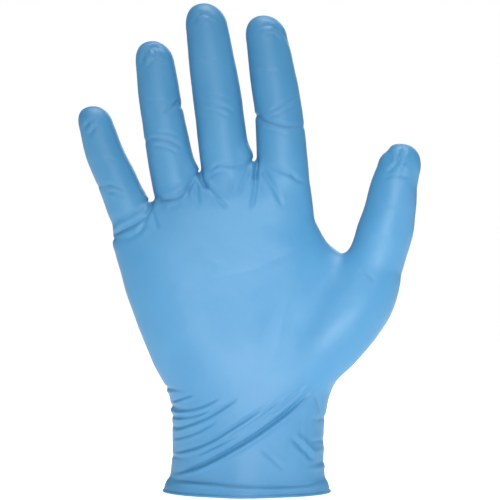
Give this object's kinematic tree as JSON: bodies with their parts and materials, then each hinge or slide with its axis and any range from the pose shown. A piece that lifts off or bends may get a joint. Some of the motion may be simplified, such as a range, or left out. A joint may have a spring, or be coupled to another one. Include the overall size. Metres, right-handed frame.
{
  "type": "disposable glove",
  "caption": "Thin disposable examination glove in the shape it takes on an open right hand, with a rolled cuff and finger and thumb stalls that fold.",
  "frame": {"origin": "centre of the open end of the cuff, on the rim's plane, where the hand goes in", "axes": "+Z from the wrist to the fingertips, -Y out of the palm, +X to the thumb's side"},
  "size_m": [0.1591, 0.0458, 0.2297],
  "materials": {
    "nitrile_film": "satin",
    "nitrile_bead": "satin"
  },
  "bodies": {
    "cuff": {"cuff_bead": "nitrile_bead", "cuff": "nitrile_film"},
    "hand": {"palm": "nitrile_film", "hand_back": "nitrile_film"},
    "index_lower": {"index_lower": "nitrile_film"},
    "index_middle": {"index_middle": "nitrile_film"},
    "index_tip": {"index_tip": "nitrile_film"},
    "middle_lower": {"middle_lower": "nitrile_film"},
    "middle_middle": {"middle_middle": "nitrile_film"},
    "middle_tip": {"middle_tip": "nitrile_film"},
    "ring_lower": {"ring_lower": "nitrile_film"},
    "ring_middle": {"ring_middle": "nitrile_film"},
    "ring_tip": {"ring_tip": "nitrile_film"},
    "little_lower": {"little_lower": "nitrile_film"},
    "little_middle": {"little_middle": "nitrile_film"},
    "little_tip": {"little_tip": "nitrile_film"},
    "thumb_lower": {"thumb_lower": "nitrile_film"},
    "thumb_tip": {"thumb_tip": "nitrile_film"}
  },
  "joints": [
    {"name": "wrist_fold", "type": "hinge", "parent": "cuff", "child": "hand", "pos_m": [0, 0, 0.034], "axis": [1, 0, 0], "range_deg": [-35, 35], "stiffness_Nm_per_rad": 0.05},
    {"name": "index_root_fold", "type": "hinge", "parent": "hand", "child": "index_lower", "pos_m": [0.0164, 0, 0.1497], "axis": [0.9976, 0, 0.0698], "range_deg": [0, 75], "stiffness_Nm_per_rad": 0.003},
    {"name": "index_knuckle_fold", "type": "hinge", "parent": "index_lower", "child": "index_middle", "pos_m": [0.01466, 0, 0.17464], "axis": [0.9942, 0, 0.108], "range_deg": [0, 85], "stiffness_Nm_per_rad": 0.002},
    {"name": "index_end_fold", "type": "hinge", "parent": "index_middle", "child": "index_tip", "pos_m": [0.01125, 0, 0.19769], "axis": [0.988, 0, 0.1547], "range_deg": [0, 45], "stiffness_Nm_per_rad": 0.001},
    {"name": "middle_root_fold", "type": "hinge", "parent": "hand", "child": "middle_lower", "pos_m": [-0.0103, 0, 0.1507], "axis": [0.9932, 0, 0.1167], "range_deg": [0, 75], "stiffness_Nm_per_rad": 0.003},
    {"name": "middle_knuckle_fold", "type": "hinge", "parent": "middle_lower", "child": "middle_middle", "pos_m": [-0.0136, 0, 0.17881], "axis": [0.9914, 0, 0.1305], "range_deg": [0, 85], "stiffness_Nm_per_rad": 0.002},
    {"name": "middle_end_fold", "type": "hinge", "parent": "middle_middle", "child": "middle_tip", "pos_m": [-0.01688, 0, 0.20127], "axis": [0.9897, 0, 0.1435], "range_deg": [0, 45], "stiffness_Nm_per_rad": 0.001},
    {"name": "ring_root_fold", "type": "hinge", "parent": "hand", "child": "ring_lower", "pos_m": [-0.033, 0, 0.1396], "axis": [0.9799, 0, 0.1994], "range_deg": [0, 75], "stiffness_Nm_per_rad": 0.003},
    {"name": "ring_knuckle_fold", "type": "hinge", "parent": "ring_lower", "child": "ring_middle", "pos_m": [-0.03789, 0, 0.16361], "axis": [0.9829, 0, 0.184], "range_deg": [0, 85], "stiffness_Nm_per_rad": 0.002},
    {"name": "ring_end_fold", "type": "hinge", "parent": "ring_middle", "child": "ring_tip", "pos_m": [-0.04149, 0, 0.1847], "axis": [0.9889, 0, 0.1487], "range_deg": [0, 45], "stiffness_Nm_per_rad": 0.001},
    {"name": "little_root_fold", "type": "hinge", "parent": "hand", "child": "little_lower", "pos_m": [-0.0542, 0, 0.1264], "axis": [0.9354, 0, 0.3535], "range_deg": [0, 70], "stiffness_Nm_per_rad": 0.003},
    {"name": "little_knuckle_fold", "type": "hinge", "parent": "little_lower", "child": "little_middle", "pos_m": [-0.0606, 0, 0.14333], "axis": [0.9262, 0, 0.377], "range_deg": [0, 80], "stiffness_Nm_per_rad": 0.002},
    {"name": "little_end_fold", "type": "hinge", "parent": "little_middle", "child": "little_tip", "pos_m": [-0.0676, 0, 0.15937], "axis": [0.9394, 0, 0.3428], "range_deg": [0, 40], "stiffness_Nm_per_rad": 0.001},
    {"name": "thumb_root_fold", "type": "hinge", "parent": "hand", "child": "thumb_lower", "pos_m": [0.0596, -0.005, 0.1086], "axis": [0.9659, 0, -0.2588], "range_deg": [0, 45], "stiffness_Nm_per_rad": 0.003},
    {"name": "thumb_end_fold", "type": "hinge", "parent": "thumb_lower", "child": "thumb_tip", "pos_m": [0.06583, -0.00838, 0.13184], "axis": [0.6613, -0.7024, -0.2633], "range_deg": [0, 50], "stiffness_Nm_per_rad": 0.002}
  ]
}
